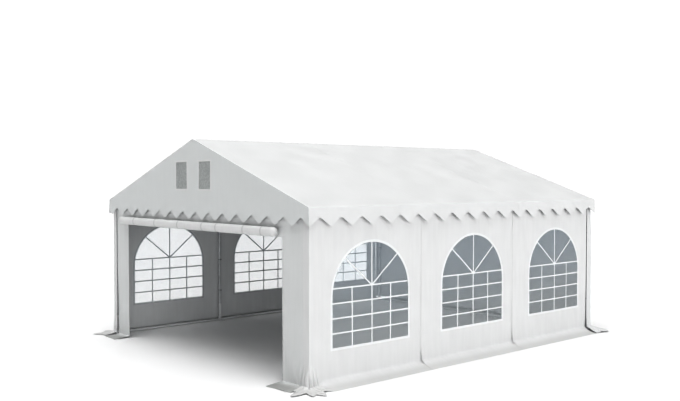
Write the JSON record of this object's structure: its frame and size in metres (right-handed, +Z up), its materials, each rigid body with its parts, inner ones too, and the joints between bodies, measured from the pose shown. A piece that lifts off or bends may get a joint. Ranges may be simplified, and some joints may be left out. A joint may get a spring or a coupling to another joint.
{
  "type": "marquee tent",
  "caption": "Marquee tent: steel tube frame, white fabric roof with a wavy valance, arched windows in the long walls, gable vents and a rolled-up front door.",
  "frame": {"origin": "on the ground, under the middle of the tent's bounding box", "axes": "+Y along the ridge towards the closed back gable, +X to the right seen from the open front, +Z up"},
  "size_m": [5.474, 6.5046, 3.09],
  "materials": {
    "galvanised_steel": "galvanised",
    "wall_fabric": "coated, satin",
    "roof_fabric": "coated, satin",
    "window_film": "clear film",
    "vent_net": "open net"
  },
  "bodies": {
    "root": {"eave_purlin_left": "galvanised_steel", "eave_purlin_right": "galvanised_steel", "gable_bar_back": "galvanised_steel", "gable_bar_front": "galvanised_steel", "ground_rail_back": "galvanised_steel", "ground_rail_left": "galvanised_steel", "ground_rail_right": "galvanised_steel", "post_left_1": "galvanised_steel", "post_left_2": "galvanised_steel", "post_left_3": "galvanised_steel", "post_left_4": "galvanised_steel", "post_right_1": "galvanised_steel", "post_right_2": "galvanised_steel", "post_right_3": "galvanised_steel", "post_right_4": "galvanised_steel", "rafter_left_1": "galvanised_steel", "rafter_left_2": "galvanised_steel", "rafter_left_3": "galvanised_steel", "rafter_left_4": "galvanised_steel", "rafter_right_1": "galvanised_steel", "rafter_right_2": "galvanised_steel", "rafter_right_3": "galvanised_steel", "rafter_right_4": "galvanised_steel", "ridge_purlin": "galvanised_steel", "back_door_panel": "wall_fabric", "back_wall": "wall_fabric", "front_wall": "wall_fabric", "rolled_front_door": "wall_fabric", "wall_panel_left_1": "wall_fabric", "wall_panel_left_2": "wall_fabric", "wall_panel_left_3": "wall_fabric", "wall_panel_right_1": "wall_fabric", "wall_panel_right_2": "wall_fabric", "wall_panel_right_3": "wall_fabric", "gable_panel_back": "roof_fabric", "gable_panel_front": "roof_fabric", "roof_cover": "roof_fabric", "window_left_1": "window_film", "window_left_2": "window_film", "window_left_3": "window_film", "window_right_1": "window_film", "window_right_2": "window_film", "window_right_3": "window_film", "vent_net_back": "vent_net", "vent_net_front": "vent_net"}
  },
  "joints": []
}
